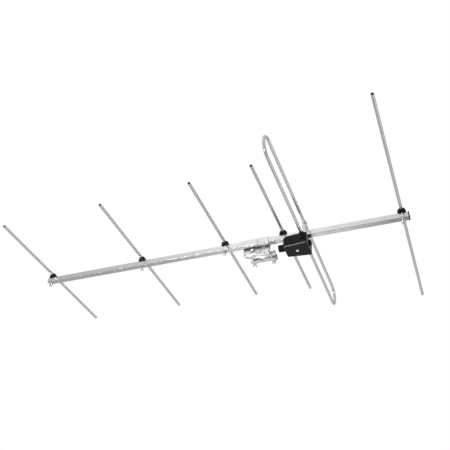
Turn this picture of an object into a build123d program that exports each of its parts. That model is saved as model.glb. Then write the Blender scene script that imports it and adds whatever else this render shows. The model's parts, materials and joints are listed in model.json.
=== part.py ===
from build123d import *
import os
from math import cos, radians, sin

# Six-element yagi antenna for television and radio, millimetres, +Z up.
# The origin is the mast seat: the axis of a vertical mast in the clamp, level with the clamp's bolts.
# The boom runs along X, with the directors towards -X and the reflector towards +X.
# Every piece is drawn about the boom's own axis and moved once, at export, to the mast's axis.

os.makedirs("parts", exist_ok=True)

# Boom: square aluminium tube
BOOM = 18.0
BOOM_WALL = 1.3
BOOM_FRONT = -809.4
BOOM_REAR = 466.8
HALF = BOOM / 2

# Where the boom's axis lies, seen from the mast seat
BOOM_Y = -35.0
BOOM_Z = 24.0

# Rod elements: place along the boom, whole length, free end of the bolt, turn of the wing nut.
# The bolts point down, except the one above the feed box, which points up.
ROD_RADIUS = 4.5
ROD_WALL = 0.8
ROD_Z = 20.2
ELEMENTS = {
    "director_4": {"x": -793.9, "length": 583.0, "tail": 15.5, "wing_turn": 20.0, "down": True},
    "director_3": {"x": -420.4, "length": 578.0, "tail": 15.5, "wing_turn": 95.0, "down": True},
    "director_2": {"x": -110.6, "length": 589.0, "tail": 15.5, "wing_turn": 12.0, "down": True},
    "director_1": {"x": 86.9, "length": 611.0, "tail": 9.5, "wing_turn": 54.0, "down": False},
    "reflector": {"x": 449.4, "length": 882.0, "tail": 14.0, "wing_turn": 60.0, "down": True},
}

# Folded dipole: an upright loop of the same rod, cut in the middle of its lower leg
DIPOLE_X = 153.8
DIPOLE_TOP = 48.8
DIPOLE_BOTTOM = -20.5
DIPOLE_STRAIGHT = 354.0
DIPOLE_GAP = 14.0
DIPOLE_MIDDLE = (DIPOLE_TOP + DIPOLE_BOTTOM) / 2
DIPOLE_BEND = (DIPOLE_TOP - DIPOLE_BOTTOM) / 2

# Fasteners
M5 = 2.5
M6 = 3.0
RIVET = 1.6
RUNNING = 0.06          # radial clearance of a part that turns on a bolt
SNUG = 0.05             # radial clearance of a part that is only pushed in

# Mast clamp
SHEET = 2.5
STRAP_SHEET = 2.0
MAST_RADIUS = 19.0
V_HALF_ANGLE = 60.0
CLAMP_BOLT_X = 33.0
CLAMP_BOLT_Z = -24.0
BRACKET_LEFT, BRACKET_RIGHT = -49.0, 39.0
BRACKET_TOP, BRACKET_BOTTOM = 9.0, -39.0
WEB_NEAR = 9.2
STRAP_SEAM = 4.0
STRAP_LEFT, STRAP_RIGHT = -49.0, 39.0
STRAP_BOLT_X = (-19.5, 19.5)
STRAP_BOLT_Z = -20.0
EARTH_BOLT_X, EARTH_BOLT_Z = 46.8, -29.0
EAR_NEAR, EAR_TOP = 22.0, -22.5
STUD_HEAD, STUD_SINK = 4.2, 1.2     # the clamp's two bolts are studs pressed in flush with the bracket
COUNTERSINK, COUNTERSINK_DEPTH = 5.4, 2.4
JAW_HALF_WIDTH = 40.5
JAW_WEB_NEAR = 61.0
JAW_TOP, JAW_BOTTOM = -18.3, -29.7

# Feed box under the boom: in plan narrow at the cable outlet and wide at the dipole
BOX_FRONT = DIPOLE_X - 60.4
BOX_REAR = DIPOLE_X + 14.8
BOX_FRONT_HALF = 26.5
BOX_REAR_HALF = 33.6
BOX_TOP, BOX_BOTTOM = -16.6, -57.0
BOX_WALL = 2.2
BOX_CORNER = 3.0
BOX_SLOPE_X, BOX_SLOPE_Z = DIPOLE_X - 46.0, -23.0
BOX_SPLIT = -50.2
SEAL = 0.9
BARREL_RADIUS = 7.8
BARREL_STAND = 2.6      # how far the barrel's boss stands out of the side walls
BOSS_DROP = 13.0
LID_SCREW_X, LID_SCREW_Y = DIPOLE_X - 23.3, 4.0
OUTLET_Y, OUTLET_Z = 2.6, -36.5
OUTLET_RADIUS, OUTLET_BORE = 11.4, 8.2
OUTLET_LENGTH = 21.6
REAR_CAP_Y, REAR_CAP_Z = 8.7, -28.5
BOARD_TOP, BOARD_THICK = -33.0, 1.6
BOX_SCREWS_X = (DIPOLE_X - 39.6, DIPOLE_X - 13.1)
BOX_SCREW = 2.0
LID_EDGE = 2.6
FEED_Y = 12.5           # where the dipole's two ends are screwed to the box's terminals

# F socket
SOCKET_THREAD, SOCKET_NECK, SOCKET_BORE = 4.76, 4.6, 3.4
SOCKET_FLANGE, FLANGE_THICK = 7.0, 1.8


def shape(solid):
    """A plain shape from any result of the steps below."""
    return solid.solid() if len(solid.solids()) == 1 else Compound(children=list(solid.solids()))


def save(name, solid):
    """Move a piece from the boom's frame to the mast's and write it."""
    placed = shape(solid).moved(Location((0, BOOM_Y, BOOM_Z)))
    export_step(placed, f"parts/{name}.step")


def rod(radius, start, end):
    """A round bar between two points."""
    start, end = Vector(*start), Vector(*end)
    way = end - start
    return extrude(Plane(origin=start, z_dir=way.normalized()) * Circle(radius), way.length)


def pipe(outer, inner, start, end):
    return rod(outer, start, end) - rod(inner, start, end)


def block(low, high, radius=0.0, around=Axis.Z):
    """A box between two corners, with the edges along one axis rounded."""
    size = [b - a for a, b in zip(low, high)]
    middle = [(a + b) / 2 for a, b in zip(low, high)]
    body = Pos(*middle) * Box(*size)
    return fillet(body.edges().filter_by(around), radius) if radius else body


def hexagon(flats, start, end):
    """A hexagonal prism, its flats' distance given, between two points."""
    start, end = Vector(*start), Vector(*end)
    way = end - start
    face = RegularPolygon(flats / 2, 6, major_radius=False)
    return extrude(Plane(origin=start, z_dir=way.normalized()) * face, way.length)


def hex_head(flats, start, end):
    """A bolt head or nut from start to end, its far corners turned off as a cone."""
    start, end = Vector(*start), Vector(*end)
    way = end - start
    cone = Plane(origin=start, z_dir=way.normalized()) * Cone(
        flats * 0.5 + way.length * 1.9, flats * 0.475, way.length,
        align=(Align.CENTER, Align.CENTER, Align.MIN))
    return hexagon(flats, start, end) & cone


def wing_nut(hole, hub, height, span, rise):
    """A wing nut on the origin, seated at z 0, its two upright wings in the XZ plane."""
    nut = Cone(hub / 2, hub * 0.42, height, align=(Align.CENTER, Align.CENTER, Align.MIN))
    root, foot = hub * 0.3, 0.6
    for side in (-1, 1):
        outline = Plane.XZ * make_face(Polyline(
            (side * root, foot), (side * root, height), (side * span * 0.29, rise * 0.85),
            (side * span * 0.37, rise), (side * span * 0.5, rise * 0.93), (side * span * 0.48, rise * 0.5),
            (side * hub * 0.48, foot), close=True))
        wing = extrude(outline, 1.1, both=True)
        upper = [e for e in wing.edges().filter_by(Axis.Y) if e.center().Z > rise * 0.8]
        nut += fillet(upper, 0.9)
    return nut - rod(hole, (0, 0, -1), (0, 0, rise + 1))


# ---- Boom and its two end caps ----
boom = block((BOOM_FRONT, -HALF, -HALF), (BOOM_REAR, HALF, HALF), 1.0, Axis.X)
hollow = HALF - BOOM_WALL
boom -= block((BOOM_FRONT - 1, -hollow, -hollow), (BOOM_REAR + 1, hollow, hollow))
for spec in ELEMENTS.values():
    boom -= rod(M5 + SNUG, (spec["x"], 0, -HALF - 1), (spec["x"], 0, HALF + 1))
boom -= rod(M5 + SNUG, (DIPOLE_X, 0, 0), (DIPOLE_X, 0, HALF + 1))
for x in BOX_SCREWS_X:
    boom -= rod(2.0 + SNUG, (x, 0, 0), (x, 0, -HALF - 1))
save("boom", boom)

plug = hollow - SNUG
brim = HALF + 1.0
rear_cap = block((BOOM_REAR, -brim, -brim), (BOOM_REAR + 3.0, brim, brim), 1.6, Axis.X)
rear_cap = chamfer(rear_cap.faces().sort_by(Axis.X)[-1].edges(), 0.7)
rear_cap += block((BOOM_REAR - 9.0, -plug, -plug), (BOOM_REAR, plug, plug), 0.5, Axis.X)
inside = plug - 1.6
rear_cap -= block((BOOM_REAR - 9.5, -inside, -inside), (BOOM_REAR - 0.5, inside, inside))
save("boom_rear_cap", rear_cap)

front_plug = block((BOOM_FRONT + 0.4, -plug, -plug), (BOOM_FRONT + 12.0, plug, plug), 0.5, Axis.X)
front_plug -= block((BOOM_FRONT + 2.4, -inside, -inside), (BOOM_FRONT + 13.0, inside, inside))
save("boom_front_plug", front_plug)


# ---- Rod elements: tube, two end plugs and the cradle that turns with it on its bolt ----
def element_tube(x, length):
    tube = pipe(ROD_RADIUS, ROD_RADIUS - ROD_WALL, (x, -length / 2, ROD_Z), (x, length / 2, ROD_Z))
    return tube - rod(M5 + RUNNING, (x, 0, ROD_Z - 8), (x, 0, ROD_Z + 8))


def element_plugs(x, length):
    plugs = []
    for side in (-1, 1):
        end = side * length / 2
        stem = rod(ROD_RADIUS - ROD_WALL - SNUG, (x, end - side * 11, ROD_Z), (x, end, ROD_Z))
        head = rod(ROD_RADIUS - 0.3, (x, end, ROD_Z), (x, end + side * 0.8, ROD_Z))
        plugs.append(shape(stem + head))
    return Compound(children=plugs)


def element_cradle(x):
    """Moulded cradle: a round-ended pad on the boom with two petal-shaped cheeks that grip the tube."""
    bottom, top = HALF + 0.05, ROD_Z + 2.9
    half_width, waist, crown = 12.8, 12.3, 5.6
    left = Line((-half_width, bottom), (-waist, bottom + 4.5))
    left += ThreePointArc((-waist, bottom + 4.5), (-10.2, top - 2.4), (-crown, top))
    right = Line((crown, top), (-crown, top))
    right += ThreePointArc((waist, bottom + 4.5), (10.2, top - 2.4), (crown, top))
    right += Line((half_width, bottom), (waist, bottom + 4.5))
    outline = make_face(left + right + Line((-half_width, bottom), (half_width, bottom)))
    cradle = Pos(x, 0, 0) * extrude(Plane.XZ * outline, 15.0, both=True)
    cradle &= rod(15.5, (x, 0, bottom), (x, 0, top))
    seat = ROD_RADIUS + 0.02
    cradle -= block((x - seat, -16, ROD_Z), (x + seat, 16, top + 1))
    cradle -= rod(seat, (x, -20, ROD_Z), (x, 20, ROD_Z))
    for side in (-1, 1):
        near, far = sorted((side * 6.8, side * 16))
        cradle -= block((x - 2.7, near, bottom - 1), (x + 2.7, far, ROD_Z))
    return cradle - rod(M5 + RUNNING, (x, 0, 0), (x, 0, 40))


element_bolts, top_washers, bottom_washers = [], [], []
for name, spec in ELEMENTS.items():
    x = spec["x"]
    save(f"{name}_tube", element_tube(x, spec["length"]))
    save(f"{name}_end_plugs", element_plugs(x, spec["length"]))
    save(f"{name}_cradle", element_cradle(x))
    crown = ROD_Z + ROD_RADIUS + 0.05
    top_seat, low_seat = crown + 0.8, -HALF - 1.0
    if spec["down"]:
        head_seat, nut_seat, away = top_seat, low_seat, -1
    else:
        head_seat, nut_seat, away = low_seat, top_seat, 1
    shank = rod(M5, (x, 0, head_seat), (x, 0, nut_seat + away * spec["tail"]))
    shank = chamfer(shank.faces().sort_by(Axis.Z)[0 if spec["down"] else -1].edges(), 0.6)
    element_bolts.append(shape(shank + hex_head(8.0, (x, 0, head_seat), (x, 0, head_seat - away * 3.5))))
    top_washers.append(shape(pipe(5.0, M5 + RUNNING, (x, 0, crown), (x, 0, top_seat))))
    bottom_washers.append(shape(pipe(6.0, M5 + RUNNING, (x, 0, low_seat), (x, 0, -HALF))))
    nut = Rot(0, 0, spec["wing_turn"]) * wing_nut(M5 + RUNNING, 9.5, 5.0, 24.0, 12.5)
    seated = Pos(x, 0, nut_seat + away * 0.05) * Rot(180 if spec["down"] else 0, 0, 0)
    save(f"{name}_wing_nut", seated * nut)
save("element_bolts", Compound(children=element_bolts))
save("element_head_washers", Compound(children=top_washers))
save("element_nut_washers", Compound(children=bottom_washers))


# ---- Folded dipole and the post that carries its upper leg ----
def on_dipole(y, z):
    return (DIPOLE_X, y, z)


def dipole_loop():
    """One tube bent into a flat loop in the plane x = DIPOLE_X."""
    bore = ROD_RADIUS - ROD_WALL
    section = Circle(ROD_RADIUS) - Circle(bore)
    half = DIPOLE_STRAIGHT
    loop = pipe(ROD_RADIUS, bore, on_dipole(-half, DIPOLE_TOP), on_dipole(half, DIPOLE_TOP))
    for side in (-1, 1):
        bend, cut = side * half, side * DIPOLE_GAP / 2
        loop += pipe(ROD_RADIUS, bore, on_dipole(cut, DIPOLE_BOTTOM), on_dipole(bend, DIPOLE_BOTTOM))
        start = Plane(origin=on_dipole(bend, DIPOLE_BOTTOM), x_dir=(1, 0, 0), z_dir=(0, 1, 0))
        loop += revolve(start * section, Axis(on_dipole(bend, DIPOLE_MIDDLE), (side, 0, 0)), 180)
        feed = side * FEED_Y
        loop -= rod(BOX_SCREW + SNUG, on_dipole(feed, DIPOLE_BOTTOM - 8), on_dipole(feed, DIPOLE_BOTTOM + 8))
    return loop - rod(RIVET + SNUG, (DIPOLE_X - 8, 0, DIPOLE_TOP), (DIPOLE_X + 8, 0, DIPOLE_TOP))


save("folded_dipole", dipole_loop())

POST_SHEET = 1.6
post_half = ROD_RADIUS + SNUG + POST_SHEET
inner_half = post_half - POST_SHEET
post_near = -6.0
post = block((DIPOLE_X - post_half, post_near, HALF), (DIPOLE_X + post_half, 6.5, DIPOLE_TOP + 5.5))
post -= block((DIPOLE_X - inner_half, post_near + POST_SHEET, HALF + POST_SHEET),
              (DIPOLE_X + inner_half, 7.5, DIPOLE_TOP + 7))
post -= block((DIPOLE_X - inner_half, post_near - 1, DIPOLE_TOP - 4.7),
              (DIPOLE_X + inner_half, post_near + 2, DIPOLE_TOP + 7))
post = fillet(post.edges().filter_by(Axis.X).group_by(Axis.Z)[-1], 2.0)
post -= rod(RIVET + SNUG, (DIPOLE_X - 10, 0, DIPOLE_TOP), (DIPOLE_X + 10, 0, DIPOLE_TOP))
post -= rod(2.2, (DIPOLE_X - 10, 1.0, DIPOLE_TOP - 11), (DIPOLE_X + 10, 1.0, DIPOLE_TOP - 11))
post -= rod(M5 + SNUG, (DIPOLE_X, 0, 0), (DIPOLE_X, 0, HALF + 3))
save("dipole_post", post)

rivet_reach = post_half + 0.1
post_rivet = rod(RIVET, (DIPOLE_X - rivet_reach, 0, DIPOLE_TOP), (DIPOLE_X + rivet_reach, 0, DIPOLE_TOP))
for side in (-1, 1):
    under_head, over_head = DIPOLE_X + side * post_half, DIPOLE_X + side * (post_half + 1.4)
    head = rod(2 * RIVET, (under_head, 0, DIPOLE_TOP), (over_head, 0, DIPOLE_TOP))
    post_rivet += fillet(head.faces().sort_by(Axis.X)[-1 if side > 0 else 0].edges(), 1.1)
save("post_rivet", post_rivet)

post_screw = rod(M5, (DIPOLE_X, 0, HALF - 7.5), (DIPOLE_X, 0, HALF + 1.6))
post_screw += hex_head(7.0, (DIPOLE_X, 0, HALF + 1.6), (DIPOLE_X, 0, HALF + 4.6))
save("post_screw", post_screw)


# ---- Mast clamp: V bracket behind the boom, two straps round the boom, jaw and bolts ----
def v_plate(left, right, low, valley, half_width, root, shoulders, way):
    """Flat flange with a toothed V. way is +1 when the V opens towards +Y, -1 when towards -Y."""
    pitch, depth = 2.4, 0.8
    across, along = sin(radians(V_HALF_ANGLE)), cos(radians(V_HALF_ANGLE)) * way
    flank = [(0.0, valley)]
    for i in range(1, int(half_width / across / pitch) + 1):
        back = depth if i % 2 else 0.0
        run = i * pitch
        flank.append((run * across + back * abs(along), valley + run * along - way * back * across))
    tip_x, tip_y = flank[-1]
    ends = {1: right, -1: left}
    sides = {}
    for side in (1, -1):
        sides[side] = [(side * x, y) for x, y in flank]
        sides[side] += [(side * (tip_x + 4.0), tip_y + way), (ends[side], tip_y - way * shoulders[side]),
                        (ends[side], root)]
    outline = sides[1] + sides[-1][:0:-1]
    return extrude(Plane.XY.offset(low) * make_face(Polyline(*outline, close=True)), SHEET)


v_depth = MAST_RADIUS / sin(radians(V_HALF_ANGLE))
bracket_valley = -BOOM_Y - v_depth
jaw_valley = -BOOM_Y + v_depth
web_far = WEB_NEAR + SHEET

bracket = block((BRACKET_LEFT, WEB_NEAR, BRACKET_BOTTOM), (BRACKET_RIGHT, web_far, BRACKET_TOP), 2.5, Axis.Y)
bracket_half = BRACKET_RIGHT - 2.5
for low in (BRACKET_BOTTOM, -12.0):
    bracket += v_plate(BRACKET_LEFT + 2.5, bracket_half, low, bracket_valley, 24.0, WEB_NEAR,
                       {1: 1.5, -1: 8.0}, 1)
near_edge = [e for e in bracket.edges().filter_by(Axis.X)
             if abs(e.center().Z - BRACKET_BOTTOM) < 0.01 and abs(e.center().Y - WEB_NEAR) < 0.01]
bracket = fillet(near_edge, 2.2)
bracket += block((bracket_half - 1.0, EAR_NEAR - 3.0, BRACKET_BOTTOM),
                 (EARTH_BOLT_X + 6.0, EAR_NEAR + SHEET, BRACKET_BOTTOM + SHEET))
bracket += block((bracket_half + 1.5, EAR_NEAR, BRACKET_BOTTOM),
                 (EARTH_BOLT_X + 6.0, EAR_NEAR + SHEET, EAR_TOP))
for x in (-CLAMP_BOLT_X, CLAMP_BOLT_X):
    bracket -= rod(M6 + SNUG, (x, 0, CLAMP_BOLT_Z), (x, 30, CLAMP_BOLT_Z))
    bracket -= rod(STUD_HEAD + SNUG, (x, 0, CLAMP_BOLT_Z), (x, WEB_NEAR + STUD_SINK, CLAMP_BOLT_Z))
for x in STRAP_BOLT_X:
    bracket -= rod(M6 + SNUG, (x, 0, STRAP_BOLT_Z), (x, 30, STRAP_BOLT_Z))
bracket -= rod(M6 + SNUG, (EARTH_BOLT_X, 15, EARTH_BOLT_Z), (EARTH_BOLT_X, 30, EARTH_BOLT_Z))
save("mast_bracket", bracket)


def boom_strap(left, right, sheet, lip_low):
    """Band from a hook over the bracket's top edge, round the boom, to a lip against the bracket."""
    inner = HALF + 0.1
    outer = inner + sheet
    hook_y = web_far + 0.1
    line = [(hook_y + sheet, 2.0), (hook_y + sheet, outer), (-outer, outer), (-outer, -outer),
            (WEB_NEAR - sheet, -outer), (WEB_NEAR - sheet, lip_low), (WEB_NEAR, lip_low),
            (WEB_NEAR, -inner), (-inner, -inner), (-inner, inner), (hook_y, inner), (hook_y, 2.0)]
    section = Plane(origin=(left, 0, 0), x_dir=(0, 1, 0), z_dir=(1, 0, 0))
    strap = extrude(section * make_face(Polyline(*line, close=True)), right - left)

    def corner(y, z):
        return [e for e in strap.edges().filter_by(Axis.X)
                if abs(e.center().Y - y) < 0.01 and abs(e.center().Z - z) < 0.01]

    strap = fillet(corner(-outer, outer) + corner(-outer, -outer) + corner(hook_y + sheet, outer), 2.6)
    lip = [e for e in strap.edges().filter_by(Axis.Y) if abs(e.center().Z - lip_low) < 0.01]
    return fillet(lip, 6.0)


front_strap = boom_strap(STRAP_LEFT, STRAP_SEAM - 0.2, STRAP_SHEET, -33.0)
rear_strap = boom_strap(STRAP_SEAM + 0.2, STRAP_RIGHT, STRAP_SHEET + 0.6, -32.0)
lip_near_front = WEB_NEAR - STRAP_SHEET
lip_near_rear = WEB_NEAR - STRAP_SHEET - 0.6
front_bolt_x, rear_bolt_x = STRAP_BOLT_X
front_strap -= rod(M6 + SNUG, (front_bolt_x, 0, STRAP_BOLT_Z), (front_bolt_x, 30, STRAP_BOLT_Z))


def sunk_bolt(grow, start_y, end_y):
    """Countersunk bolt along +Y through the rear strap's lip, or the hole for it if grow isn't zero."""
    place = Plane(origin=(rear_bolt_x, lip_near_rear, STRAP_BOLT_Z), z_dir=(0, 1, 0))
    cone = place * Cone(COUNTERSINK + grow, M6 + grow, COUNTERSINK_DEPTH,
                        align=(Align.CENTER, Align.CENTER, Align.MIN))
    return cone + rod(M6 + grow, (rear_bolt_x, start_y, STRAP_BOLT_Z), (rear_bolt_x, end_y, STRAP_BOLT_Z))


rear_strap -= sunk_bolt(SNUG, lip_near_rear + 1, 30)
save("boom_strap_front", front_strap)
save("boom_strap_rear", rear_strap)


def cross_bolt(x, z, head_y, end_y, flats=10.0, head=4.0):
    """Hex bolt along +Y, its head's inner face at head_y."""
    shank = chamfer(rod(M6, (x, head_y, z), (x, end_y, z)).faces().sort_by(Axis.Y)[-1].edges(), 0.7)
    return shape(shank + hex_head(flats, (x, head_y, z), (x, head_y - head, z)))


studs = []
for x in (-CLAMP_BOLT_X, CLAMP_BOLT_X):
    stud = rod(M6, (x, WEB_NEAR, CLAMP_BOLT_Z), (x, 85.0, CLAMP_BOLT_Z))
    stud = chamfer(stud.faces().sort_by(Axis.Y)[-1].edges(), 0.7)
    stud += rod(STUD_HEAD, (x, WEB_NEAR, CLAMP_BOLT_Z), (x, WEB_NEAR + STUD_SINK, CLAMP_BOLT_Z))
    studs.append(shape(stud))
save("clamp_bolts", Compound(children=studs))
hexagonal = cross_bolt(front_bolt_x, STRAP_BOLT_Z, lip_near_front, 20.0)
countersunk = sunk_bolt(0.0, lip_near_rear + 1, 20.0)
countersunk -= Pos(rear_bolt_x, lip_near_rear, STRAP_BOLT_Z) * Rot(0, 25, 0) * Box(12, 1.6, 1.4)
save("strap_bolts", Compound(children=[hexagonal, shape(countersunk)]))


def hex_nut(x, z, seat_y, face_y):
    """M6 nut along Y. Its corners are turned off on the side of face_y."""
    bore = rod(M6 + SNUG, (x, seat_y - 10, z), (x, seat_y + 10, z))
    return shape(hex_head(10.0, (x, seat_y, z), (x, face_y, z)) - bore)


NUT = 5.0
strap_nuts = [hex_nut(x, STRAP_BOLT_Z, web_far, web_far + NUT) for x in STRAP_BOLT_X]
save("strap_nuts", Compound(children=strap_nuts))

ear_far = EAR_NEAR + SHEET
WASHER = 1.4
earth_nut_face = 46.0
earth_bolt = cross_bolt(EARTH_BOLT_X, EARTH_BOLT_Z, EAR_NEAR, 61.0)
undercut = pipe(M6 + 1.0, M6 - 0.4, (EARTH_BOLT_X, earth_nut_face, EARTH_BOLT_Z),
                (EARTH_BOLT_X, earth_nut_face + 0.8, EARTH_BOLT_Z))
save("earth_bolt", shape(earth_bolt - undercut))
save("earth_nuts", Compound(children=[
    hex_nut(EARTH_BOLT_X, EARTH_BOLT_Z, ear_far + WASHER, ear_far + WASHER + NUT),
    hex_nut(EARTH_BOLT_X, EARTH_BOLT_Z, earth_nut_face - NUT, earth_nut_face)]))
save("earth_washers", Compound(children=[
    shape(pipe(5.9, M6 + SNUG, (EARTH_BOLT_X, y, EARTH_BOLT_Z), (EARTH_BOLT_X, y + WASHER, EARTH_BOLT_Z)))
    for y in (ear_far, 39.6)]))

jaw_far = JAW_WEB_NEAR + SHEET
jaw = block((-JAW_HALF_WIDTH, JAW_WEB_NEAR, JAW_BOTTOM), (JAW_HALF_WIDTH, jaw_far, JAW_TOP))
for low in (JAW_BOTTOM, JAW_TOP - SHEET):
    jaw += v_plate(-JAW_HALF_WIDTH, JAW_HALF_WIDTH, low, jaw_valley, 14.5, jaw_far, {1: 0.0, -1: 0.0}, -1)
long_edges = [e for e in jaw.edges().filter_by(Axis.X) if abs(e.center().Y - jaw_far) < 0.01]
jaw = fillet(long_edges, 2.2)
end_edges = [e for e in jaw.edges().filter_by(Axis.Z) if e.center().Y < jaw_far - 10]
jaw = fillet([e for e in end_edges if abs(e.center().X) > JAW_HALF_WIDTH - 0.01], 3.0)
for x in (-CLAMP_BOLT_X, CLAMP_BOLT_X):
    jaw -= rod(M6 + 0.3, (x, 50, CLAMP_BOLT_Z), (x, 70, CLAMP_BOLT_Z))
save("mast_jaw", jaw)
save("jaw_washers", Compound(children=[
    shape(pipe(6.0, M6 + 0.1, (x, jaw_far, CLAMP_BOLT_Z), (x, jaw_far + WASHER, CLAMP_BOLT_Z)))
    for x in (-CLAMP_BOLT_X, CLAMP_BOLT_X)]))
for end, x, turn in (("front", -CLAMP_BOLT_X, -45.0), ("rear", CLAMP_BOLT_X, -50.0)):
    nut = Rot(0, 0, turn) * wing_nut(M6 + RUNNING, 10.5, 6.0, 20.4, 15.0)
    save(f"jaw_wing_nut_{end}", Pos(x, jaw_far + WASHER + 0.05, CLAMP_BOLT_Z) * Rot(-90, 0, 0) * nut)


# ---- Feed box under the boom: shell, lid and what is inside ----
def box_prism(grow, low, high, radius):
    """The box's plan, moved in by grow, from low to high with its upright edges rounded."""
    front, rear = BOX_FRONT + grow, BOX_REAR - grow
    front_half, rear_half = BOX_FRONT_HALF - grow, BOX_REAR_HALF - grow
    plan = make_face(Polyline(
        (front, -front_half), (rear, -rear_half), (rear, rear_half), (front, front_half), close=True))
    prism = extrude(Plane.XY.offset(low) * plan, high - low)
    return fillet(prism.edges().filter_by(Axis.Z), radius)


def under_slope(grow, low):
    """All that lies under the box's top, which slopes down at the cable outlet."""
    front, rear, high = BOX_FRONT, BOX_REAR + 1, BOX_TOP - grow
    slope_low = BOX_SLOPE_Z - grow
    outline = make_face(Polyline(
        (front - 1, low), (front - 1, slope_low), (front, slope_low), (BOX_SLOPE_X + grow * 0.4, high),
        (rear, high), (rear, low), close=True))
    return extrude(Plane.XZ * outline, BOX_REAR_HALF + 1, both=True)


def on_lid_screw(z):
    return (LID_SCREW_X, LID_SCREW_Y, z)


def on_outlet(x):
    return (x, OUTLET_Y, OUTLET_Z)


def on_rear_cap(x):
    return (x, REAR_CAP_Y, REAR_CAP_Z)


shell_low = BOX_SPLIT + SEAL
shell = box_prism(0, shell_low, BOX_TOP, BOX_CORNER) & under_slope(0, shell_low)
shell = fillet(shell.faces().sort_by(Axis.Z)[-1].edges(), 1.2)
widening = (BOX_REAR_HALF - BOX_FRONT_HALF) / (BOX_REAR - BOX_FRONT)
barrel_half = BOX_FRONT_HALF + widening * (DIPOLE_X - BOX_FRONT) + BARREL_STAND
boss_low = DIPOLE_BOTTOM - BOSS_DROP
for z in (DIPOLE_BOTTOM, boss_low):
    shell += rod(BARREL_RADIUS, on_dipole(-barrel_half, z), on_dipole(barrel_half, z))
shell += block((DIPOLE_X - BARREL_RADIUS, -barrel_half, boss_low),
               (DIPOLE_X + BARREL_RADIUS, barrel_half, DIPOLE_BOTTOM))
pad_front, pad_rear = BOX_SCREWS_X[0] - 6.0, BOX_SCREWS_X[1] + 7.0
shell += block((pad_front, -HALF, BOX_TOP - 1), (pad_rear, HALF, -HALF), 2.0)
shell += rod(OUTLET_RADIUS, on_outlet(BOX_FRONT + 1), on_outlet(BOX_FRONT - OUTLET_LENGTH))
cavity = box_prism(BOX_WALL, BOX_SPLIT - 1, BOX_TOP, BOX_CORNER - BOX_WALL)
cavity &= under_slope(BOX_WALL, BOX_SPLIT - 1)
cavity -= rod(BARREL_RADIUS, on_dipole(-40, DIPOLE_BOTTOM), on_dipole(40, DIPOLE_BOTTOM))
cavity -= rod(4.6, on_lid_screw(0), on_lid_screw(shell_low + 2.5))
for x in BOX_SCREWS_X:
    cavity -= rod(4.5, (x, 0, 0), (x, 0, BOX_TOP - 5.0))
shell -= cavity
shell -= rod(ROD_RADIUS + SNUG, on_dipole(-40, DIPOLE_BOTTOM), on_dipole(40, DIPOLE_BOTTOM))
for feed in (-FEED_Y, FEED_Y):
    shell -= rod(3.5, on_dipole(feed, DIPOLE_BOTTOM - 2.0), on_dipole(feed, DIPOLE_BOTTOM - 9.5))
for x in BOX_SCREWS_X:
    shell -= rod(BOX_SCREW + SNUG, (x, 0, 0), (x, 0, BOX_TOP - 6))
shell -= rod(BOX_SCREW + SNUG, on_lid_screw(shell_low - 1), on_lid_screw(-30.0))
shell -= rod(OUTLET_BORE, on_outlet(BOX_FRONT), on_outlet(BOX_FRONT - OUTLET_LENGTH - 1))
shell -= rod(SOCKET_NECK + SNUG, on_outlet(BOX_FRONT - 1), on_outlet(BOX_FRONT + 4))
shell -= rod(BOX_SCREW + SNUG, on_rear_cap(BOX_REAR + 1), on_rear_cap(BOX_REAR - 3.6))
save("feed_box_shell", shell)

lid = box_prism(0, BOX_BOTTOM, BOX_SPLIT, BOX_CORNER)
lid = chamfer(lid.faces().sort_by(Axis.Z)[0].edges(), LID_EDGE)
rim = BOX_WALL + 0.15
lid += box_prism(rim, BOX_SPLIT - 1, BOX_SPLIT + 3.0, 0.8)
lid -= box_prism(rim + 1.6, BOX_BOTTOM + 2.2, BOX_SPLIT + 4.0, 0.8)
lid_screw_seat = BOX_BOTTOM + 4.4
lid += rod(11.2, on_lid_screw(BOX_BOTTOM + 1), on_lid_screw(lid_screw_seat + 2.2))
lid -= rod(9.2, on_lid_screw(BOX_BOTTOM - 1), on_lid_screw(lid_screw_seat))
lid -= rod(2.4, on_lid_screw(BOX_BOTTOM), on_lid_screw(BOX_BOTTOM + 8))
save("feed_box_lid", lid)

lid_screw = rod(BOX_SCREW, on_lid_screw(lid_screw_seat), on_lid_screw(-32.0))
head = rod(6.1, on_lid_screw(lid_screw_seat), on_lid_screw(lid_screw_seat - 3.4))
lid_screw += fillet(head.faces().sort_by(Axis.Z)[0].edges(), 1.4)
lid_screw -= Pos(*on_lid_screw(lid_screw_seat - 3.4)) * Rot(0, 0, 35) * Box(14, 1.6, 2.8)
save("lid_screw", lid_screw)

seal = box_prism(0.5, BOX_SPLIT, shell_low, 2.5) - box_prism(rim - 0.1, BOX_SPLIT - 1, shell_low + 1, 0.8)
save("lid_seal", seal)

board_low = BOARD_TOP - BOARD_THICK
board = block((BOX_FRONT + BOX_WALL + 9, -22.0, board_low), (BOX_REAR - BOX_WALL - 4, 22.0, BOARD_TOP))
board -= rod(4.8, on_lid_screw(-30), on_lid_screw(-40))
save("circuit_board", board)

core_x, core_y, core_z = DIPOLE_X - 12.0, -8.0, board_low - 3.75
core_hole_y = 3.2
core = block((core_x - 6.5, core_y - 7.0, board_low - 7.5), (core_x + 6.5, core_y + 7.0, board_low),
             3.0, Axis.X)
for y in (core_y - core_hole_y, core_y + core_hole_y):
    core -= rod(1.8, (core_x - 8, y, core_z), (core_x + 8, y, core_z))
save("balun_core", core)


def winding():
    """One turn of wire through both holes of the core."""
    half_x, wire_radius = 8.2, 0.6
    near, far = core_y - core_hole_y, core_y + core_hole_y
    wire = rod(wire_radius, (core_x - half_x, near, core_z), (core_x + half_x, near, core_z))
    wire += rod(wire_radius, (core_x - half_x, far, core_z), (core_x + half_x, far, core_z))
    across_x = core_x + half_x - wire_radius
    return wire + rod(wire_radius, (across_x, near, core_z), (across_x, far, core_z))


save("balun_winding", winding())

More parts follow.
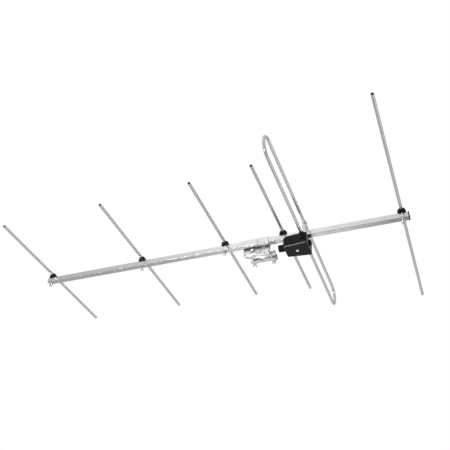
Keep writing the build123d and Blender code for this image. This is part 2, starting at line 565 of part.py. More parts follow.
terminal_z = DIPOLE_BOTTOM - BARREL_RADIUS
strap_top, strap_low = terminal_z - 1.4, terminal_z - 2.2
straps, screws = [], []
for y in (-FEED_Y, FEED_Y):
    near, far = y - 3.4, y + 3.4
    strap = block((DIPOLE_X - 3.4, near, strap_low), (DIPOLE_X + 3.4, far, strap_top))
    strap += block((DIPOLE_X - 3.4, near, BOARD_TOP), (DIPOLE_X - 2.6, far, strap_top))
    hole = rod(BOX_SCREW + SNUG, on_dipole(y, terminal_z - 4), on_dipole(y, terminal_z))
    straps.append(shape(strap - hole))
    screw = rod(BOX_SCREW, on_dipole(y, DIPOLE_BOTTOM + 1.5), on_dipole(y, strap_low))
    screws.append(shape(screw + rod(2.4, on_dipole(y, strap_low), on_dipole(y, BOARD_TOP + 0.3))))
save("terminal_straps", Compound(children=straps))
save("terminal_screws", Compound(children=screws))

box_screws = []
for x in BOX_SCREWS_X:
    screw = rod(2.0, (x, 0, BOX_TOP - 5.0), (x, 0, -HALF + 4.0))
    box_screws.append(shape(screw + rod(3.6, (x, 0, BOX_TOP - 5.0), (x, 0, BOX_TOP - 7.4))))
save("box_screws", Compound(children=box_screws))

# Coaxial socket: flange inside the wall, thread inside the outlet collar
socket_tip = BOX_FRONT - 14.6
nut_face = BOX_FRONT - 2.5
flange_face = BOX_FRONT + BOX_WALL
flange_back = flange_face + FLANGE_THICK
socket = rod(SOCKET_THREAD, on_outlet(socket_tip), on_outlet(nut_face))
socket += rod(SOCKET_NECK, on_outlet(nut_face), on_outlet(flange_face))
socket += rod(SOCKET_FLANGE, on_outlet(flange_face), on_outlet(flange_back))
socket -= rod(SOCKET_BORE, on_outlet(socket_tip - 1), on_outlet(flange_back + 1))
save("coax_socket", socket)
socket_nut = hexagon(11.0, on_outlet(BOX_FRONT), on_outlet(nut_face))
socket_nut -= rod(SOCKET_NECK + SNUG, on_outlet(BOX_FRONT + 1), on_outlet(nut_face - 1))
save("socket_nut", socket_nut)
contact_radius = 0.9
insulator = pipe(SOCKET_BORE - SNUG, contact_radius + SNUG,
                 on_outlet(socket_tip + 0.4), on_outlet(flange_back))
save("socket_insulator", insulator)
contact = rod(contact_radius, on_outlet(socket_tip + 0.8), on_outlet(BOX_FRONT + 14.0))
contact -= rod(0.5, on_outlet(socket_tip), on_outlet(socket_tip + 8.0))
save("socket_contact", contact)

rear_blank = rod(9.9, on_rear_cap(BOX_REAR), on_rear_cap(BOX_REAR + 3.8))
rear_blank = fillet(rear_blank.faces().sort_by(Axis.X)[-1].edges(), 1.2)
rear_blank -= rod(6.0, on_rear_cap(BOX_REAR + 2.6), on_rear_cap(BOX_REAR + 5.0))
rear_blank += rod(BOX_SCREW, on_rear_cap(BOX_REAR - 3.5), on_rear_cap(BOX_REAR + 1))
save("box_rear_cap", rear_blank)
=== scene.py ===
import json
import math

import bmesh
import bpy
from mathutils import Matrix, Vector

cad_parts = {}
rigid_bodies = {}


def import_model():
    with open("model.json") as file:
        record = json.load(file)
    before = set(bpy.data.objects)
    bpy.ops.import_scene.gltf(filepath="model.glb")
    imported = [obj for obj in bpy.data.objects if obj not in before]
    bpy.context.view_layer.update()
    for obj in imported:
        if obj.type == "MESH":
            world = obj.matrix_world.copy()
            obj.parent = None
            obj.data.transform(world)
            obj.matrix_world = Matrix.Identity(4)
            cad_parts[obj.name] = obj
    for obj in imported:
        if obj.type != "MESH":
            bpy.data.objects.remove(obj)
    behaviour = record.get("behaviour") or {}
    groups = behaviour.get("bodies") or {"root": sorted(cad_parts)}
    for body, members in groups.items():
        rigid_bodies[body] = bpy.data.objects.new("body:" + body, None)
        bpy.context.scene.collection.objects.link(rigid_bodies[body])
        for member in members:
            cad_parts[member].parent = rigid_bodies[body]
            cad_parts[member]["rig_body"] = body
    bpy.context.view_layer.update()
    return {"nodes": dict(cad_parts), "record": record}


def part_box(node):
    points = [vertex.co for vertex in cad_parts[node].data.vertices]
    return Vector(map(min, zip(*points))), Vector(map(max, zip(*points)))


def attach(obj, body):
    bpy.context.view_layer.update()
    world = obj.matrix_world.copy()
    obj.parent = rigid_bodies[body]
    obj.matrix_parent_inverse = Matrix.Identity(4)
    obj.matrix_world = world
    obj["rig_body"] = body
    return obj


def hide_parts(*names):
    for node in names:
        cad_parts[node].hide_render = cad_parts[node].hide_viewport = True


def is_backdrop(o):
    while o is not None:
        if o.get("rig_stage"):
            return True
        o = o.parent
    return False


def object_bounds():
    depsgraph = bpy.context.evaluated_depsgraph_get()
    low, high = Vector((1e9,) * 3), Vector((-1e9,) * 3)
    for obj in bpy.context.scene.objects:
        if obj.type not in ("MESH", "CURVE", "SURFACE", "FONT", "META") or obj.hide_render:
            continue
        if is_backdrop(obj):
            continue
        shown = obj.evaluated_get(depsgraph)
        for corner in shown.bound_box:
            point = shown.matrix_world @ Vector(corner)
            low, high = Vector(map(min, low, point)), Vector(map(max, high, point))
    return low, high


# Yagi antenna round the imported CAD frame: metres, +Z up, the boom along X, the origin at the mast seat.
# The CAD's own shapes are shown for all but the bolts and studs, the wing nuts and the coaxial socket, which
# are remade here with their threads and cast forms.

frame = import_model()
NODES = frame["nodes"]
SCENE = bpy.context.scene
MM = 0.001
ELEMENTS = ("director_4", "director_3", "director_2", "director_1", "reflector")


# ---- Materials ----
class Finish:
    """A Principled material whose colour, roughness and relief come from procedural textures."""

    def __init__(self, name, metallic=0.0):
        self.material = bpy.data.materials.new(name)
        self.material.use_nodes = True
        self.tree = self.material.node_tree
        self.surface = self.tree.nodes["Principled BSDF"]
        self.surface.inputs["Metallic"].default_value = metallic
        self.place = self.node("ShaderNodeTexCoord").outputs["Object"]

    def node(self, kind, **values):
        made = self.tree.nodes.new(kind)
        for name, value in values.items():
            if hasattr(made, name):
                setattr(made, name, value)
            else:
                self.feed(made.inputs[name], value)
        return made

    def feed(self, socket, value):
        if isinstance(value, bpy.types.NodeSocket):
            self.tree.links.new(value, socket)
        else:
            socket.default_value = value

    def scaled(self, x, y, z):
        """Coordinates multiplied along each axis, so that a texture's cells are 1/x by 1/y by 1/z metres."""
        mapping = self.node("ShaderNodeMapping", Vector=self.place)
        mapping.inputs["Scale"].default_value = (x, y, z)
        return mapping.outputs["Vector"]

    def noise(self, place, scale=1.0, detail=3.0, roughness=0.55):
        made = self.node("ShaderNodeTexNoise", Vector=place, Scale=scale, Detail=detail, Roughness=roughness)
        return made.outputs["Fac"]

    def spread(self, value, low, high, start=0.3, end=0.7):
        """A value between start and end taken to the range from low to high."""
        made = self.node("ShaderNodeMapRange")
        for socket, given in zip(made.inputs[:5], (value, start, end, low, high)):
            self.feed(socket, given)
        return made.outputs[0]

    def mixed(self, factor, first, second):
        made = self.node("ShaderNodeMix", data_type="RGBA")
        self.feed(made.inputs[0], factor)
        self.feed(made.inputs[6], (*first, 1.0) if isinstance(first, tuple) else first)
        self.feed(made.inputs[7], (*second, 1.0) if isinstance(second, tuple) else second)
        return made.outputs[2]

    def math(self, operation, first, second=0.0):
        made = self.node("ShaderNodeMath", operation=operation)
        self.feed(made.inputs[0], first)
        self.feed(made.inputs[1], second)
        return made.outputs[0]

    def colour(self, value):
        self.feed(self.surface.inputs["Base Color"], value)

    def roughness(self, value):
        self.feed(self.surface.inputs["Roughness"], value)

    def relief(self, height, depth, strength=1.0):
        """Bumps of a depth in metres."""
        bump = self.node("ShaderNodeBump", Height=height, Distance=depth, Strength=strength)
        self.feed(self.surface.inputs["Normal"], bump.outputs["Normal"])


def drawn_metal(name, dark, light, along, low, high):
    """Drawn or extruded metal: fine lines and broad streaks along one axis, with handling smudges."""
    made = Finish(name, metallic=1.0)
    fine = [6500.0] * 3
    broad = [700.0] * 3
    fine[along] = 9.0
    broad[along] = 1.6
    lines = made.noise(made.scaled(*fine), detail=2.0)
    streaks = made.noise(made.scaled(*broad), detail=3.0)
    smudges = made.noise(made.scaled(38.0, 38.0, 38.0), detail=4.0)
    made.colour(made.mixed(made.spread(streaks, 0.0, 1.0), dark, light))
    made.roughness(made.math("MULTIPLY", made.spread(lines, low, high), made.spread(smudges, 0.85, 1.35)))
    made.relief(lines, 0.000004, 0.3)
    return made.material


def plated_metal(name, dark, light, low, high, cloud=110.0, grain=0.0000012, shaded_creases=()):
    """Electroplated steel: cloudy tone, small scratches and an uneven skin.

    A shaded crease is a bend or seam darkened with painted shade: along each axis, its place and how far the
    painted shade reaches.
    """
    made = Finish(name, metallic=1.0)
    clouds = made.noise(made.scaled(cloud, cloud, cloud), detail=5.0, roughness=0.6)
    scratches = made.noise(made.scaled(5200.0, 420.0, 2600.0), detail=2.0)
    tone_and_painted_shade = made.mixed(made.spread(clouds, 0.0, 1.0), dark, light)
    spot = made.node("ShaderNodeSeparateXYZ", Vector=made.place)
    for crease in shaded_creases:
        away = 0.0
        for axis, (centre, reach) in crease.items():
            gap = made.math("ABSOLUTE", made.math("SUBTRACT", spot.outputs[axis], centre))
            away = made.math("MAXIMUM", made.math("DIVIDE", gap, reach), away)
        # painted shade: near-black blended into the colour, full within 15% of each crease's reach and fading
        # out at its edge
        tone_and_painted_shade = made.mixed(made.spread(away, 0.0, 1.0, 0.15, 1.0), (0.08, 0.08, 0.085), tone_and_painted_shade)
    made.colour(tone_and_painted_shade)
    made.roughness(made.math("MULTIPLY", made.spread(clouds, low, high), made.spread(scratches, 0.9, 1.1)))
    skin = made.noise(made.scaled(900.0, 900.0, 900.0), detail=3.0)
    made.relief(made.math("ADD", skin, scratches), grain, 0.35)
    return made.material


def moulded_plastic(name, dark, light, low, high, grain=2600.0, depth=0.000008, specular=0.3):
    """Moulded plastic: a fine spark-eroded grain, faint flow marks and a little weathering."""
    made = Finish(name)
    made.surface.inputs["Specular IOR Level"].default_value = specular
    flow = made.noise(made.scaled(60.0, 90.0, 60.0), detail=4.0)
    pits = made.noise(made.scaled(grain, grain, grain), detail=2.0)
    made.colour(made.mixed(made.spread(flow, 0.0, 1.0), dark, light))
    made.roughness(made.math("MULTIPLY", made.spread(flow, low, high), made.spread(pits, 0.9, 1.15)))
    made.relief(pits, depth, 0.25)
    return made.material


def solder_resist(name):
    """Green board with copper tracks showing through the lacquer."""
    made = Finish(name)
    tracks = made.node("ShaderNodeTexBrick", Vector=made.scaled(260.0, 260.0, 260.0), Scale=1.0)
    tracks.inputs["Mortar Size"].default_value = 0.06
    tracks.inputs["Color1"].default_value = (0.0, 0.0, 0.0, 1.0)
    tracks.inputs["Color2"].default_value = (0.1, 0.1, 0.1, 1.0)
    tracks.inputs["Mortar"].default_value = (1.0, 1.0, 1.0, 1.0)
    weave = made.noise(made.scaled(1800.0, 1800.0, 300.0))
    ground = made.mixed(made.spread(weave, 0.0, 1.0), (0.012, 0.10, 0.035), (0.02, 0.15, 0.05))
    made.colour(made.mixed(tracks.outputs["Color"], ground, (0.05, 0.30, 0.10)))
    made.roughness(made.spread(weave, 0.22, 0.38))
    made.relief(tracks.outputs["Color"], 0.00004)
    return made.material


ALONG_X, ALONG_Y, ALONG_Z = 0, 1, 2

# Painted shade on the clamp: dark bands painted under the boom on the straps' lips and bolt heads, and a dark
# line painted along the seam between the straps.
SHADE_UNDER_BOOM = {"Y": (-27.8 * MM, 3.0 * MM), "Z": (12.3 * MM, 24.0 * MM)}
SHADE_UNDER_STRAPS = {"X": (0.0, 45.0 * MM), **SHADE_UNDER_BOOM}
SEAM_X = (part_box("boom_strap_front")[1][0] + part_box("boom_strap_rear")[0][0]) / 2
SHADE_ALONG_STRAP_SEAM = {"X": (SEAM_X, 1.3 * MM), "Y": (-46.0 * MM, 18.0 * MM)}

FINISHES = {
    "boom_aluminium": drawn_metal(
        "boom_aluminium", (0.77, 0.755, 0.74), (0.86, 0.845, 0.83), ALONG_X, 0.14, 0.28),
    "element_aluminium": drawn_metal(
        "element_aluminium", (0.80, 0.79, 0.77), (0.88, 0.87, 0.86), ALONG_Y, 0.14, 0.30),
    "dipole_aluminium": drawn_metal(
        "dipole_aluminium", (0.80, 0.80, 0.81), (0.90, 0.90, 0.91), ALONG_Y, 0.05, 0.13),
    "bracket_aluminium": drawn_metal(
        "bracket_aluminium", (0.80, 0.80, 0.80), (0.88, 0.88, 0.88), ALONG_Z, 0.24, 0.42),
    # the clamp's zinc carries painted shade under the boom and a painted dark line along the strap seam
    "clamp_zinc": plated_metal(
        "clamp_zinc", (0.87, 0.875, 0.885), (0.95, 0.955, 0.965), 0.26, 0.34, cloud=60.0,
        shaded_creases=[SHADE_UNDER_BOOM, SHADE_ALONG_STRAP_SEAM]),
    # this zinc carries painted shade under the straps and the boom
    "zinc_steel": plated_metal(
        "zinc_steel", (0.70, 0.71, 0.73), (0.82, 0.83, 0.85), 0.18, 0.30, shaded_creases=[SHADE_UNDER_STRAPS]),
    "dark_steel": plated_metal(
        "dark_steel", (0.16, 0.18, 0.19), (0.30, 0.33, 0.34), 0.30, 0.46),
    "lid_screw_steel": plated_metal(
        "lid_screw_steel", (0.74, 0.71, 0.66), (0.86, 0.83, 0.78), 0.16, 0.28),
    "black_plastic": moulded_plastic(
        "black_plastic", (0.004, 0.004, 0.0045), (0.009, 0.009, 0.010), 0.34, 0.46),
    "box_plastic": moulded_plastic(
        "box_plastic", (0.004, 0.004, 0.0045), (0.008, 0.008, 0.009), 0.15, 0.22, specular=0.18),
    "seal_rubber": moulded_plastic(
        "seal_rubber", (0.012, 0.012, 0.012), (0.028, 0.028, 0.028), 0.70, 0.85),
    "circuit_board": solder_resist("circuit_board"),
    "ferrite": moulded_plastic(
        "ferrite", (0.020, 0.020, 0.022), (0.060, 0.060, 0.064), 0.45, 0.65, grain=1400.0),
    "copper_wire": plated_metal(
        "copper_wire", (0.60, 0.22, 0.09), (0.78, 0.34, 0.15), 0.20, 0.32),
    "brass": plated_metal(
        "brass", (0.70, 0.52, 0.22), (0.83, 0.66, 0.33), 0.20, 0.34),
    "nickel_brass": plated_metal(
        "nickel_brass", (0.70, 0.68, 0.64), (0.82, 0.80, 0.77), 0.14, 0.26),
    "white_insulator": moulded_plastic(
        "white_insulator", (0.78, 0.78, 0.75), (0.88, 0.88, 0.86), 0.30, 0.45),
}

slots = {row["node"]: row["material_slot"] for row in frame["record"]["subparts"]}
for node_name, node in NODES.items():
    finish = FINISHES[slots[node_name]]
    for place in node.material_slots:
        place.material = finish


# ---- Geometry helpers ----
SIDES = 36
RINGS_PER_TURN = 6
RUNOUT_TURNS = 1.5


def corners_of(node):
    """(lowest corner, highest corner) of each separate solid of a CAD node, in order along X."""
    mesh = NODES[node].data
    spots = {}
    group = []
    for vertex in mesh.vertices:
        key = tuple(round(v * 1e6) for v in vertex.co)
        group.append(spots.setdefault(key, vertex.index))
    parent = list(range(len(mesh.vertices)))

    def top(index):
        while parent[index] != index:
            parent[index] = parent[parent[index]]
            index = parent[index]
        return index

    for edge in mesh.edges:
        parent[top(group[edge.vertices[0]])] = top(group[edge.vertices[1]])
    boxes = {}
    for index, vertex in enumerate(mesh.vertices):
        low, high = boxes.setdefault(top(group[index]), (vertex.co.copy(), vertex.co.copy()))
        for axis in range(3):
            low[axis] = min(low[axis], vertex.co[axis])
            high[axis] = max(high[axis], vertex.co[axis])
    return sorted(boxes.values(), key=lambda pair: pair[0].x)


def placed(origin, way):
    """The matrix that takes local +Z to a direction, from an origin."""
    return Matrix.Translation(origin) @ Vector(way).to_track_quat("Z", "Y").to_matrix().to_4x4()


def turned(bm, matrix, stations, ring_closed=False):
    """A turned solid from stations (height, radius), where radius may depend on the angle."""
    rings = []
    for height, radius in stations:
        ring = []
        for i in range(SIDES):
            angle = 2 * math.pi * i / SIDES
            r = radius(angle) if callable(radius) else radius
            ring.append(bm.verts.new(matrix @ Vector((r * math.cos(angle), r * math.sin(angle), height))))
        rings.append(ring)
    pairs = list(zip(rings, rings[1:])) + ([(rings[-1], rings[0])] if ring_closed else [])
    for first, second in pairs:
        for i in range(SIDES):
            j = (i + 1) % SIDES
            bm.faces.new((first[i], first[j], second[j], second[i]))
    if not ring_closed:
        bm.faces.new(rings[0][::-1])
        bm.faces.new(rings[-1])


def thread(start, end, radius, pitch):
    """Stations of a screw thread between two heights, fading out towards both ends."""
    depth = 0.6 * pitch
    count = max(2, int(abs(end - start) / pitch * RINGS_PER_TURN))
    for k in range(count + 1):
        height = start + (end - start) * k / count
        fade = min(1.0, min(k, count - k) / RINGS_PER_TURN / RUNOUT_TURNS)

        def at(angle, height=height, fade=fade):
            turn = (height / pitch - angle / (2 * math.pi)) % 1.0
            return radius - depth * fade * abs(2 * turn - 1)

        yield height, at


def hexagon(flats, limit):
    """Radius at an angle of a hexagon, flats across, cut down to a circle of radius limit."""
    def at(angle):
        off = (angle + math.pi / 6) % (math.pi / 3) - math.pi / 6
        return min(flats / 2 / math.cos(off), limit)
    return at


def hex_bolt(bm, seat, tip, flats, head, radius, pitch, plain, undercut=()):
    """A hexagon bolt whose head's inner face is at seat, threaded from plain metres under it to the tip.

    An undercut (start, end) is a smooth groove that breaks the thread. The head has a chamfer round its top
    and a smaller one under it, and the shank has a fillet.
    """
    seat, tip = Vector(seat), Vector(tip)
    length = (tip - seat).length
    stations = [(-head, flats * 0.44), (-head + 0.02 * flats, flats * 0.47),
                (-head + 0.09 * flats, hexagon(flats, flats * 0.555)), (-0.04 * flats, hexagon(flats, flats)),
                (0.0, hexagon(flats, flats * 0.56)), (0.0, radius + 0.25 * MM), (0.3 * MM, radius)]
    if undercut:
        start, end = undercut
        stations += thread(plain, start, radius, pitch)
        stations += [(start + 0.05 * MM, radius * 0.87), (end - 0.05 * MM, radius * 0.87)]
        plain = end
    stations += thread(plain, length - 0.8 * pitch, radius, pitch)
    stations += [(length, radius * TIP)]
    turned(bm, placed(seat, tip - seat), stations)


def replace_node(name, bm, node, smooth=35.0):
    """Makes an object of a finished mesh that rides, and is finished, as the CAD node it stands for."""
    bmesh.ops.recalc_face_normals(bm, faces=bm.faces)
    mesh = bpy.data.meshes.new(name)
    bm.to_mesh(mesh)
    bm.free()
    for polygon in mesh.polygons:
        polygon.use_smooth = True
    mesh.set_sharp_from_angle(angle=math.radians(smooth))
    mesh.materials.append(FINISHES[slots[node]])
    made = bpy.data.objects.new(name, mesh)
    SCENE.collection.objects.link(made)
    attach(made, NODES[node]["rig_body"])
    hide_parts(node)


# ---- Bolts with threads ----
M5, M5_PITCH, M5_HEAD, M5_FLATS = 2.5 * MM, 0.8 * MM, 3.5 * MM, 8.0 * MM
M6, M6_PITCH, M6_HEAD, M6_FLATS = 3.0 * MM, 1.0 * MM, 4.0 * MM, 10.0 * MM
ELEMENT_BOLT_PLAIN, EARTH_BOLT_PLAIN = 22.0 * MM, 2.0 * MM
EARTH_UNDERCUT = (24.0 * MM, 24.8 * MM)
STUD_HEAD, STUD_PLAIN = 1.2 * MM, 8.0 * MM
TIP = 0.78

# director_1's bolt has its head under the boom, beside the feed box; the others have theirs on top
nut_low, nut_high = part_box("director_1_wing_nut")
bm = bmesh.new()
for low, high in corners_of("element_bolts"):
    middle = (low + high) / 2
    upward = nut_low[0] < middle.x < nut_high[0]
    head = Vector((middle.x, middle.y, low.z + M5_HEAD if upward else high.z - M5_HEAD))
    tip = Vector((middle.x, middle.y, high.z if upward else low.z))
    hex_bolt(bm, head, tip, M5_FLATS, M5_HEAD, M5, M5_PITCH, ELEMENT_BOLT_PLAIN)
replace_node("element_bolts_threaded", bm, "element_bolts")

bm = bmesh.new()
for low, high in corners_of("clamp_bolts"):
    middle = (low + high) / 2
    head = high.x - low.x
    length = high.y - low.y
    stations = [(0.0, head / 2), (STUD_HEAD, head / 2), (STUD_HEAD, M6), (STUD_PLAIN, M6)]
    stations += thread(STUD_PLAIN, length - 0.8 * M6_PITCH, M6, M6_PITCH)
    stations += [(length, M6 * TIP)]
    turned(bm, placed((middle.x, low.y, middle.z), (0, 1, 0)), stations)
replace_node("clamp_studs_threaded", bm, "clamp_bolts")

bm = bmesh.new()
for low, high in corners_of("earth_bolt"):
    middle = (low + high) / 2
    hex_bolt(bm, (middle.x, low.y + M6_HEAD, middle.z), (middle.x, high.y, middle.z),
             M6_FLATS, M6_HEAD, M6, M6_PITCH, EARTH_BOLT_PLAIN, EARTH_UNDERCUT)
replace_node("earth_bolt_threaded", bm, "earth_bolt")


# ---- Cast wing nuts ----
WING_SIDES = 12
CAST_GRAIN = 0.34 * MM
HUB_SHARE = 0.42
ALONG_WING = 1.25
WING_ROOT, WING_THINNING = 1.15, 0.35


def wing_nut(node, upright, away, hub, bore):
    """A cast wing nut in the place of its CAD node: a bored hub and two leaf-shaped wings.

    Its axis is upright (0, 1 or 2 for X, Y or Z), and its wings rise from its seat along that axis, or
    against it where away is -1. hub and bore are radii. The CAD node gives its place, height, span and angle.
    """
    low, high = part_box(node)
    low, high = Vector(low), Vector(high)
    middle = (low + high) / 2
    seat = middle.copy()
    seat[upright] = low[upright] if away > 0 else high[upright]
    axis = Vector((0, 0, 0))
    axis[upright] = away
    rise = high[upright] - low[upright]

    def off_axis(point):
        return (point - seat) - axis * (point - seat).dot(axis)

    wing_tip = max((off_axis(v.co) for v in NODES[node].data.vertices), key=lambda reach: reach.length)
    span = wing_tip.length
    across = wing_tip.normalized()
    matrix = Matrix((across, axis.cross(across), axis)).transposed().to_4x4()
    matrix.translation = seat
    tall = rise * HUB_SHARE
    bm = bmesh.new()
    turned(bm, matrix, [(0.0, bore + 0.3 * MM), (0.0, hub - 0.4 * MM), (0.4 * MM, hub),
                        (tall * 0.6, hub * 0.92), (tall - 0.4 * MM, hub * 0.85), (tall, hub * 0.78),
                        (tall, bore + 0.3 * MM), (tall - 0.4 * MM, bore), (0.4 * MM, bore)], ring_closed=True)
    for side in (-1, 1):
        # along the wing's middle line: distance out, height, and half width as a share of the hub's height
        path = ((hub * 0.80, tall * 0.45, 0.42), (span * 0.52, tall * 0.85, 0.36),
                (span * 0.66, rise * 0.55, 0.34), (span * 0.76, rise * 0.70, 0.33),
                (span * 0.82, rise * 0.82, 0.27), (span * 0.85, rise * 0.91, 0.16),
                (span * 0.86, rise * 0.955, 0.05))
        rings = []
        for index, (x, z, width) in enumerate(path):
            before, after = path[max(0, index - 1)], path[min(len(path) - 1, index + 1)]
            along = Vector((after[0] - before[0], after[1] - before[1])).normalized()
            wide = width * tall * ALONG_WING
            thick = (WING_ROOT - WING_THINNING * index / (len(path) - 1)) * MM * min(1.0, width * 5)
            ring = []
            for k in range(WING_SIDES):
                angle = 2 * math.pi * k / WING_SIDES
                out = math.cos(angle) * wide
                ring.append(bm.verts.new(matrix @ Vector((
                    side * (x + out * along.y), side * math.sin(angle) * thick, z - out * along.x))))
            rings.append(ring)
        for first, second in zip(rings, rings[1:]):
            for k in range(WING_SIDES):
                beside = (k + 1) % WING_SIDES
                bm.faces.new((first[k], first[beside], second[beside], second[k]))
        bm.faces.new(rings[0][::-1])
        bm.faces.new(rings[-1])
    bmesh.ops.recalc_face_normals(bm, faces=bm.faces)
    rough = bpy.data.meshes.new(f"{node}_rough")
    bm.to_mesh(rough)
    bm.free()
    blank = bpy.data.objects.new(f"{node}_rough", rough)
    SCENE.collection.objects.link(blank)
    remesh = blank.modifiers.new("cast", "REMESH")
    remesh.mode = "VOXEL"
    remesh.voxel_size = CAST_GRAIN
    soften = blank.modifiers.new("soften", "SMOOTH")
    soften.factor = 0.5
    soften.iterations = 3
    cast = bpy.data.meshes.new_from_object(blank.evaluated_get(bpy.context.evaluated_depsgraph_get()))
    bpy.data.objects.remove(blank)
    bpy.data.meshes.remove(rough)
    bm = bmesh.new()
    bm.from_mesh(cast)
    bpy.data.meshes.remove(cast)
    replace_node(f"{node}_cast", bm, node, smooth=60.0)


for element in ELEMENTS:
    wing_nut(f"{element}_wing_nut", ALONG_Z, 1 if element == "director_1" else -1, 4.7 * MM, 2.85 * MM)
for node in ("jaw_wing_nut_front", "jaw_wing_nut_rear"):
    wing_nut(node, ALONG_Y, 1, 5.2 * MM, 3.3 * MM)


# ---- Threaded coaxial socket ----
SOCKET_THREAD, SOCKET_PITCH, SOCKET_BORE = 4.76 * MM, 0.794 * MM, 3.4 * MM
NECK, NECK_LENGTH = 4.6 * MM, 4.7 * MM
FLANGE, FLANGE_THICK, ROUND = 7.0 * MM, 1.8 * MM, 0.2 * MM
CHAMFER = 0.6 * MM
low, high = (Vector(corner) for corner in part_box("coax_socket"))
middle = (low + high) / 2
length = high.x - low.x
neck_end = FLANGE_THICK + NECK_LENGTH
stations = [(0.0, SOCKET_BORE), (0.0, FLANGE - ROUND), (ROUND, FLANGE), (FLANGE_THICK - ROUND, FLANGE),
            (FLANGE_THICK, FLANGE - ROUND), (FLANGE_THICK, NECK), (neck_end, NECK)]
stations += thread(neck_end + 0.1 * MM, length - CHAMFER, SOCKET_THREAD, SOCKET_PITCH)
stations += [(length, SOCKET_THREAD - CHAMFER), (length, SOCKET_BORE)]
bm = bmesh.new()
turned(bm, placed((high.x, middle.y, middle.z), (-1, 0, 0)), stations, ring_closed=True)
replace_node("coax_socket_threaded", bm, "coax_socket")


# ---- Softened edges on the CAD's sheet metal and mouldings: bevel widths in millimetres ----
SOFTENED = {"mast_bracket": 0.35, "boom_strap_front": 0.35, "boom_strap_rear": 0.35, "mast_jaw": 0.35,
            "strap_nuts": 0.25, "strap_bolts": 0.2, "earth_nuts": 0.25, "earth_washers": 0.2,
            "jaw_washers": 0.2, "element_nut_washers": 0.15, "element_head_washers": 0.12,
            "dipole_post": 0.25, "post_screw": 0.2, "feed_box_shell": 0.35, "feed_box_lid": 0.35,
            "boom_rear_cap": 0.3, "box_rear_cap": 0.25, "boom": 0.2, "lid_screw": 0.2}
SOFTENED.update({f"{element}_cradle": 0.5 for element in ELEMENTS})
for node, width in SOFTENED.items():
    bevel = NODES[node].modifiers.new("edges", "BEVEL")
    bevel.width = width * MM
    bevel.segments = 2
    bevel.limit_method = "ANGLE"
    bevel.angle_limit = math.radians(34)
    bevel.harden_normals = True


# ---- Camera: below the antenna and to its right, looking up ----
camera_data = bpy.data.cameras.new("camera")
camera_data.lens = 45.756
camera_data.sensor_width = 36.0
camera_data.clip_start = 0.01
camera_data.clip_end = 100.0
camera = bpy.data.objects.new("camera", camera_data)
SCENE.collection.objects.link(camera)
right = Vector((0.92366, 0.37272, 0.08905))
up = Vector((0.18288, -0.63294, 0.75229))
back = right.cross(up)
stand = Matrix.Translation((0.5286, -1.3485, -1.1318))
camera.matrix_world = stand @ Matrix((right, up, back)).transposed().to_4x4()
SCENE.camera = camera


# ---- Studio: white surround to the eye, soft lit and shaded patches to the metal ----
SCENE.view_settings.view_transform = "Standard"
world = bpy.data.worlds.new("studio")
SCENE.world = world
world.use_nodes = True
sky = world.node_tree
sky.nodes.clear()


def sky_node(kind, *inputs, **settings):
    made = sky.nodes.new(kind)
    for name, value in settings.items():
        setattr(made, name, value)
    for socket, value in zip(made.inputs, inputs):
        if isinstance(value, bpy.types.NodeSocket):
            sky.links.new(value, socket)
        elif value is not None:
            socket.default_value = value
    return made


# brightness rises from straight down to just under level, and a little more from there up
direction = sky_node("ShaderNodeTexCoord").outputs["Generated"]
height = sky_node("ShaderNodeSeparateXYZ", direction).outputs["Z"]
low_to_level = sky_node("ShaderNodeMapRange", height, -0.85, -0.30, 0.36, 0.53,
                        interpolation_type="SMOOTHSTEP")
level_to_top = sky_node("ShaderNodeMapRange", height, -0.10, 0.90, 0.0, 0.02, interpolation_type="SMOOTHSTEP")
total = sky_node("ShaderNodeMath", low_to_level.outputs[0], level_to_top.outputs[0],
                 operation="ADD").outputs[0]
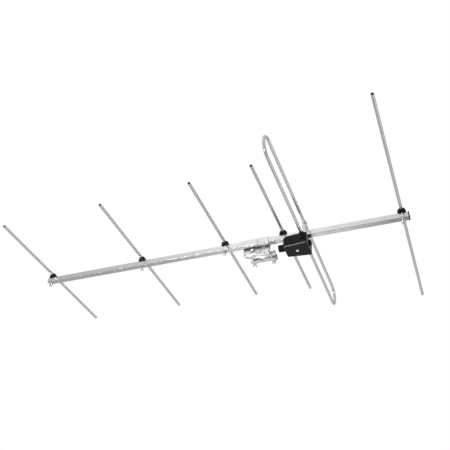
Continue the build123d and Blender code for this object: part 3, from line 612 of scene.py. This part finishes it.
# Soft boxes and, where the strength is below zero, dark flags: direction, the cosine where each starts, the
# cosine where it is full and the strength added.
SOFT_BOXES = (
    ((-0.28, -0.73, 0.62), 0.94, 0.99, 0.18),
    ((-0.28, -0.73, 0.62), 0.985, 0.996, 0.32),
    ((0.00, -0.78, 0.62), 0.95, 0.99, 0.12),
    ((-0.22, 0.74, -0.63), 0.978, 0.995, 0.42),
    ((-0.03, 0.75, -0.66), 0.993, 0.999, -0.34),
    ((0.60, 0.60, -0.55), 0.88, 0.98, 0.16),
    ((0.62, 0.56, -0.56), 0.965, 0.992, 0.62),
    ((0.05, 0.62, -0.785), 0.985, 0.998, -0.20),
    ((0.264, 0.64, -0.72), 0.985, 0.997, -0.16),
    ((-0.38, -0.56, -0.735), 0.990, 0.996, 20.0),
    ((-0.29, -0.76, -0.59), 0.975, 0.995, 0.22),
    ((0.55, 0.50, 0.30), 0.80, 0.98, -0.30),
)
for way, start, full, strength in SOFT_BOXES:
    facing = sky_node("ShaderNodeVectorMath", direction, Vector(way).normalized(), operation="DOT_PRODUCT")
    patch = sky_node("ShaderNodeMapRange", facing.outputs["Value"], start, full, 0.0, strength,
                     interpolation_type="SMOOTHSTEP")
    total = sky_node("ShaderNodeMath", total, patch.outputs[0], operation="ADD").outputs[0]
lit = sky_node("ShaderNodeBackground", None, total)
lit.inputs["Color"].default_value = (1.0, 1.0, 1.0, 1.0)
seen = sky_node("ShaderNodeBackground", (1.0, 1.0, 1.0, 1.0), 1.0)
eye = sky_node("ShaderNodeLightPath").outputs["Is Camera Ray"]
mixed_sky = sky_node("ShaderNodeMixShader", eye, lit.outputs[0], seen.outputs[0])
sky_node("ShaderNodeOutputWorld", mixed_sky.outputs[0])

FLOOR_Z = -2.6
floor_mesh = bpy.data.meshes.new("floor")
bm = bmesh.new()
bmesh.ops.create_grid(bm, x_segments=8, y_segments=8, size=30.0, matrix=Matrix.Translation((0, 0, FLOOR_Z)))
bm.to_mesh(floor_mesh)
bm.free()
floor = bpy.data.objects.new("floor", floor_mesh)
SCENE.collection.objects.link(floor)
floor_finish = Finish("floor")
floor_finish.colour(floor_finish.mixed(floor_finish.noise(floor_finish.scaled(3.0, 3.0, 3.0)),
                                       (0.80, 0.80, 0.79), (0.84, 0.84, 0.83)))
floor_finish.roughness(0.9)
floor_mesh.materials.append(floor_finish.material)
floor.visible_glossy = False
floor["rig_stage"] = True

low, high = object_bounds()
